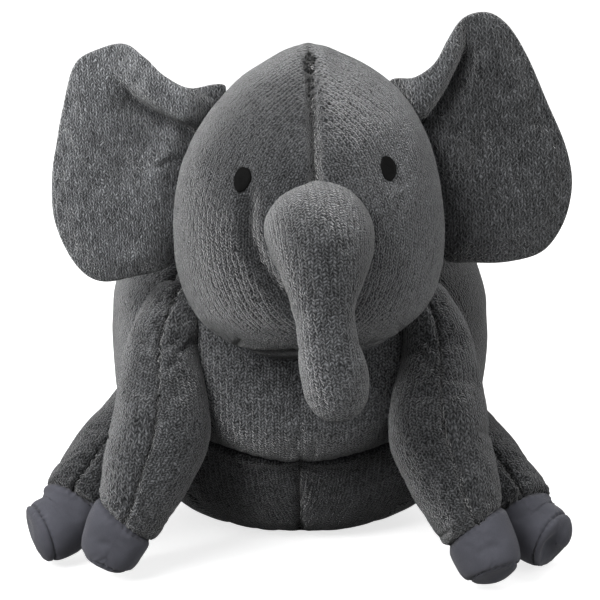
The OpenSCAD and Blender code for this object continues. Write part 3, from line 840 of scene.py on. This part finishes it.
def ear_skin(side):
    """An ear's whole skin: rings from the middle of its front to the rim, and on to its back's middle."""
    outline = np.array(EAR_OUTLINE[side], float)
    closed = np.concatenate([outline[-1:], outline, outline[:2]])
    edge = spline(closed, (1 + np.linspace(0, len(outline), 181)[:-1]) / (len(closed) - 1))
    r = np.sin(np.linspace(0.001, math.pi / 2, EAR_RINGS + 1))[:, None]
    flat = EAR_MID + (edge[None] - EAR_MID) * r[:, :, None]
    curl = (flat[:, :, 0] - EAR_ROOT_X) / (EAR_TIP_X - EAR_ROOT_X)
    y = EAR_Y - EAR_CURL * curl * np.abs(curl)
    away, side_of, along = distance_to(flat, EAR_FOLD[side])
    above = away * side_of
    tip = (1 - smooth(along, 0.6, 1)) * smooth(flat[:, :, 0], 38, 52)
    y = y - EAR_ROLL * smooth(above, 0, 5) * tip
    y = y + 5 * np.exp(-((above + 4) / 7) ** 2) * tip
    # The rolled margin's lip hangs a little over the crease below it
    lip = EAR_LIP * np.exp(-((above - 3) / 3.5) ** 2) * tip
    fold = np.diff(np.array(EAR_FOLD[side], float)[[0, -1]], axis=0)[0]
    down = np.array([fold[1], -fold[0]]) / np.linalg.norm(fold)
    flat = flat + lip[:, :, None] * down
    soft, _, run = distance_to(flat, EAR_CREASE[side])
    y = y - 3 * np.exp(-(soft / 6) ** 2) * (1 - smooth(run, 0.3, 1))
    y = y + 2.0 * np.exp(-((flat[:, :, 0] - 58) / 5) ** 2) * (1 - smooth(flat[:, :, 1], 190, 210))
    half = EAR_THICK * np.sqrt(1 - r ** 4)
    x = flat[:, :, 0] * (-1 if side == "left" else 1)
    faces = []
    for k, sign in enumerate((-1, 1)):
        face = np.stack([x, y + sign * half, flat[:, :, 1]], axis=2)
        seed = 50 + 2 * k + (side == "right") * 4
        swell = 1.3 * lumps(face, 26, seed) + 0.35 * lumps(face, 9, seed + 1)
        face[:, :, 1] += swell * np.sqrt(1 - r ** 6)
        faces.append(face)
    skin = Plate(np.concatenate([faces[0], faces[1][-2::-1]]), (0, -1, 0), [0, EAR_RINGS, 2 * EAR_RINGS])
    # Painted shade in the hollow under the fold and beside the head, and painted highlights along the soft
    # ridge and the margin above the fold
    hollow = 0.35 * np.exp(-((above + 3) / 4) ** 2) + 0.25 * np.exp(-((above + 12) / 12) ** 2)
    shade = 1 + (0.12 if side == "left" else 0.7) * smooth(above, 1, 5) * tip - hollow * tip
    shade *= 1 + 0.55 * np.exp(-(soft / 6) ** 2) * (1 - smooth(run, 0.6, 1))
    shade *= 0.7 + 0.3 * smooth(flat[:, :, 0] + 0.35 * (flat[:, :, 1] - EAR_MID[1]), 54, 66)
    shade = np.concatenate([shade, shade[:, :1]], axis=1)
    turned = np.abs(skin.p[0, 1, 2] - faces[0][0, 1, 2]) > 1e-6
    skin.tone[:EAR_RINGS + 1] = shade[:, ::-1] if turned else shade
    return skin


for side, sign in (("left", -1), ("right", 1)):
    hinge = (metres_in_head(sign * 50), metres_in_head(sign * 70))
    skin = ear_skin(side)
    middle = (skin.p + skin.p[::-1]) / 2
    wadding = (middle + (skin.p - middle) * WAD_SHARE)[:, :-1]
    wad = Plate(np.concatenate([wadding[:WAD_RINGS], wadding[-WAD_RINGS:]]), (0, -1, 0),
                [0, WAD_RINGS, 2 * WAD_RINGS])
    # The rim keeps its shape and the middle of each face swells
    from_rim = np.abs(np.arange(len(skin.p)) - EAR_RINGS)
    skin.room = smooth(from_rim, 5, 20)[:, None]
    puff(skin, 0.03, 2.0, held_rows=(1,))
    skin.room = np.ones((len(skin.p), 1))
    skin.push(skin.seam(1, cols=(0, 1), depth=0.45, width=1.6, pucker=0, dark=0.3))
    for face, rows in (("front", (0, 1)), ("back", (1, 2))):
        node = f"ear_{side}_{face}"
        stuffed(panel(node + "_knit", skin, rows, (0, 1), COVER, head_pose, flat=(0, 2)), KNIT_EAR[side],
                node)
        move(node + "_knit", ("head", f"ear_{side}"), *hinge)
    stuffed(stuffing(f"ear_{side}_wadding_fibre", wad, 0, (0, len(wad.p) - 1), 2, head_pose), FILL,
            f"ear_{side}_wadding")
    move(f"ear_{side}_wadding_fibre", ("head", f"ear_{side}"), *hinge)

# ---------------------------------------------------------------- legs
FRONT_LEG = [
    (-52, -44, 124, 0.4, 0.4), (-54, -47, 121, 11, 12), (-60, -56, 110, 14, 16), (-63, -64, 96, 16.5, 18),
    (-62.7, -74, 79, 20.3, 20), (-63.7, -82, 65, 21.9, 21), (-68.5, -87.5, 52, 19.9, 19),
    (-73, -91.5, 41, 17.6, 17), (-76.8, -93, 33, 16, 15.8), (-80, -94.2, 27.5, 14.8, 14.8),
    (-83, -95.5, 21, 14.3, 14.3), (-86, -97, 14.5, 13.3, 13.3), (-88, -98, 9.8, 10, 10),
    (-89, -98.6, 7.6, 0.3, 0.3),
]
HIND_LEG = [
    (-48, -4, 56, 0.4, 0.4), (-53, -10, 55, 13, 13), (-64.5, -22, 54, 18.3, 18.3),
    (-74.5, -32, 48.5, 18, 18),
    (-85.5, -44, 41, 17.6, 17.6), (-95, -55, 33, 16.8, 16.8), (-102.5, -63, 26, 16, 16),
    (-105.5, -67.5, 21.3, 14.6, 14.6), (-109.5, -71.5, 17.3, 14.4, 14.3), (-115.5, -75.4, 14.8, 14.5, 13.6),
    (-120.6, -78.6, 13.1, 12.6, 11.3), (-121.8, -79.5, 12.5, 0.3, 0.3),
]
# The left thigh is pushed up by its seat: how far its root is raised, and how much fatter it is there
THIGH_RAISE, THIGH_SWELL = np.array([-3, 2, 9]), 5.5
# Shares of a leg's run at which its cap and its sole start
CAP_AT = {"front": 0.785, "hind": 0.73}
SOLE_AT = {"front": 0.925, "hind": 0.885}
# How much further along the leg the cap's seam lies, per millimetre towards the middle
CAP_TILT = {"front": 0.2, "hind": 0.1}
# Painted shade: how much darker each leg's cloth is painted
LEG_PAINTED_SHADE = {"front_left": 0.93, "front_right": 0.75, "hind_left": 0.95, "hind_right": 1.0}
# How far each foot lies from its twin's mirror image
FOOT_SHIFT = {"front_left": (0, 5, 0), "front_right": (-2, -13, 0), "hind_left": (-0.5, 4, 3),
              "hind_right": (-5, -1, 1)}
SWING = {"front": "swing", "hind": "splay"}


def leg_grid(pair, side):
    """The skin of one leg. A right leg is the left one mirrored, with its columns reversed."""
    rows = np.array(FRONT_LEG if pair == "front" else HIND_LEG, float)
    low = np.linspace(0, 1, len(rows)) ** 1.5
    if side == "right":
        rows[:, 0] *= -1
    rows[:, :3] += low[:, None] * np.array(FOOT_SHIFT[f"{pair}_{side}"])
    if (pair, side) == ("hind", "left"):
        near_root = (1 - np.linspace(0, 1, len(rows))) ** 3
        rows[:, :3] += near_root[:, None] * THIGH_RAISE
        rows[1:, 3:] += near_root[1:, None] * THIGH_SWELL
    grid = Grid(rows, [0, CAP_AT[pair], SOLE_AT[pair], 1], [76, 22, 14], [-90, 90, 270], [48, 48])
    # The knit reaches further down the foot on its inner side
    inward = (grid.p[:, :, 0] - grid.centre[:, None, 0]) * (1 if side == "left" else -1)
    near_cap = np.exp(-((grid.shares - CAP_AT[pair]) / 0.11) ** 2)[:, None]
    spine = np.gradient(grid.centre, axis=0)
    spine /= np.linalg.norm(spine, axis=1)[:, None]
    grid.p = grid.p + (CAP_TILT[pair] * inward * near_cap)[:, :, None] * spine[:, None]
    seed = 10 + 3 * (pair == "hind") + 5 * (side == "right")
    puff(grid, 0.04, 2.5, held_rows=(1, 2), held_cols=(0, 1))
    grid.tone *= LEG_PAINTED_SHADE[f"{pair}_{side}"]
    grid.push(sum(grid.seam(k, rows=(0, 1), depth=1.5, width=1.4) for k in (0, 1, 2))
              + grid.seam(1, cols=(0, 2), depth=1.5, width=1.8, stitch=3.6)
              + grid.seam(2, cols=(0, 2), depth=1.0, width=1.4, stitch=3.2)
              + 0.8 * lumps(grid.p, 19, seed) + 0.35 * lumps(grid.p, 8, seed + 1))
    return grid


for pair in ("front", "hind"):
    for side in ("left", "right"):
        grid = leg_grid(pair, side)
        key = f"{pair}_{side}"
        root = joint_mm(f"{key}_{SWING[pair]}")
        foot = grid.centre[-1]
        way = (foot - root) / np.linalg.norm(foot - root)
        outer_cols, inner_cols = ((1, 2), (0, 1)) if side == "left" else ((0, 1), (1, 2))
        cover = KNIT_LEG if pair == "front" else KNIT_PAINTED_SHADE
        for node, rows, cols, material, slot_name in (
                (f"{key}_leg_outer", (0, 1), outer_cols, cover, "knit"),
                (f"{key}_leg_inner", (0, 1), inner_cols, cover, "knit"),
                (f"{key}_foot_cap", (1, 2), (0, 2), TWILL, "foot_fabric"),
                (f"{key}_sole", (2, 3), (0, 2), TWILL, "foot_fabric")):
            thick = COVER if material == cover else FOOT_CLOTH
            stuffed(panel(node + "_cloth", grid, rows, cols, thick), material, node)
            move(node + "_cloth", ("torso", f"{key}_leg"), root - 12 * way, root + 14 * way)
        stuffed(stuffing(f"{key}_filling_fibre", grid, 4, (12, len(grid.p) - 24)), FILL,
                f"{key}_filling")
        move(f"{key}_filling_fibre", ("torso", f"{key}_leg"), root - 12 * way, root + 14 * way)

# ---------------------------------------------------------------- tail
tail_root = joint_mm("tail_lift")
# [back from the root, up from the root, radius]
TAIL = [(-7, 0, 4.6), (-2, 1.5, 5.2), (2, -3, 4.9), (3.5, -14, 4.1), (5, -26, 3.7), (6.5, -36, 3.6),
        (7.5, -40.5, 4.6), (8, -43.5, 4.2), (8.2, -45.5, 0.3)]
tail_rows = [(0, tail_root[1] + y, tail_root[2] + z, r, r) for y, z, r in TAIL]
tail = Grid(tail_rows, [0, 1], [80], [-90, 270], [40])
tail.push(tail.seam(0, depth=0.7, width=1.1) + 0.3 * lumps(tail.p, 8, 60))
tail_bend = (tail_root + [0, -4, 4], tail_root + [0, 2, -6])
stuffed(panel("tail_cover_knit", tail, (0, 1), (0, 1), TAIL_COVER), KNIT, "tail_cover")
move("tail_cover_knit", ("torso", "tail"), *tail_bend)
stuffed(stuffing("tail_filling_fibre", tail, 2.2, (6, 74)), FILL, "tail_filling")
move("tail_filling_fibre", ("torso", "tail"), *tail_bend)

# ---------------------------------------------------------------- camera, light, floor
scene = bpy.context.scene
CAMERA_AT, CAMERA_RISE = Vector((0, -0.040, 0.118)), math.radians(14)
CAMERA_FAR, HALF_VIEW = 0.95, 0.139
camera = bpy.data.cameras.new("camera")
camera.sensor_width = 36
camera.lens = 18 * CAMERA_FAR / HALF_VIEW
camera_object = bpy.data.objects.new("camera", camera)
scene.collection.objects.link(camera_object)
camera_object.location = CAMERA_AT + CAMERA_FAR * Vector((0, -math.cos(CAMERA_RISE), math.sin(CAMERA_RISE)))
camera_object.rotation_euler = (math.pi / 2 - CAMERA_RISE, 0, 0)
scene.camera = camera_object

FAR = 20000
floor = new_object("floor", [(-FAR, -FAR, 0), (FAR, -FAR, 0), (FAR, FAR, 0), (-FAR, FAR, 0)], [[0, 1, 2, 3]])
WALL_SIDES = 32
wall_turns = [2 * math.pi * k / WALL_SIDES for k in range(WALL_SIDES)]
wall = new_object("wall", [(FAR * math.cos(t), FAR * math.sin(t), z) for z in (0, FAR) for t in wall_turns],
                  [[k, (k + 1) % WALL_SIDES, WALL_SIDES + (k + 1) % WALL_SIDES, WALL_SIDES + k]
                   for k in range(WALL_SIDES)])
wall.visible_shadow = False
WHITE, BLACK, PALE = (1, 1, 1, 1), (0, 0, 0, 1), (0.75, 0.75, 0.75, 1)
for stage, name, colour, rough, glow in ((floor, "paper", PALE, 0.9, 0.72),
                                         (wall, "wall_paper", BLACK, 1.0, 0.97)):
    stage.visible_diffuse = False
    paper = Nodes(name)
    paper.set(Base_Color=colour, Roughness=rough, Emission_Color=WHITE, Emission_Strength=glow)
    stage.data.materials.append(paper.material)


def area_light(name, place, size, power):
    """A round lamp that points at the middle of the toy."""
    light = bpy.data.lights.new(name, "AREA")
    light.shape, light.size, light.energy = "DISK", size, power
    obj = bpy.data.objects.new(name, light)
    scene.collection.objects.link(obj)
    obj.location = place
    obj.rotation_euler = (Vector((0, -0.03, 0.12)) - obj.location).to_track_quat("-Z", "Y").to_euler()


area_light("key", (-0.85, -1.1, 1.05), 0.9, 22)
area_light("fill", (1.3, -1.0, 0.7), 1.2, 5.5)
area_light("left", (-1.3, 0.2, 0.5), 0.8, 2)
area_light("top", (0.0, 0.5, 1.5), 0.9, 6)

# The room is brightest overhead and darkens below the horizon
world = bpy.data.worlds.new("studio")
world.use_nodes = True
sky = world.node_tree
height = sky.nodes.new("ShaderNodeSeparateXYZ")
sky.links.new(sky.nodes.new("ShaderNodeTexCoord").outputs["Generated"], height.inputs[0])
shade = sky.nodes.new("ShaderNodeMapRange")
for key, value in (("From Min", -0.4), ("From Max", 0.6), ("To Min", 0.03), ("To Max", 0.45)):
    shade.inputs[key].default_value = value
sky.links.new(height.outputs["Z"], shade.inputs["Value"])
sky.links.new(shade.outputs[0], sky.nodes["Background"].inputs["Strength"])
sky.nodes["Background"].inputs["Color"].default_value = (1, 1, 1, 1)
scene.world = world
scene.view_settings.view_transform = "Standard"
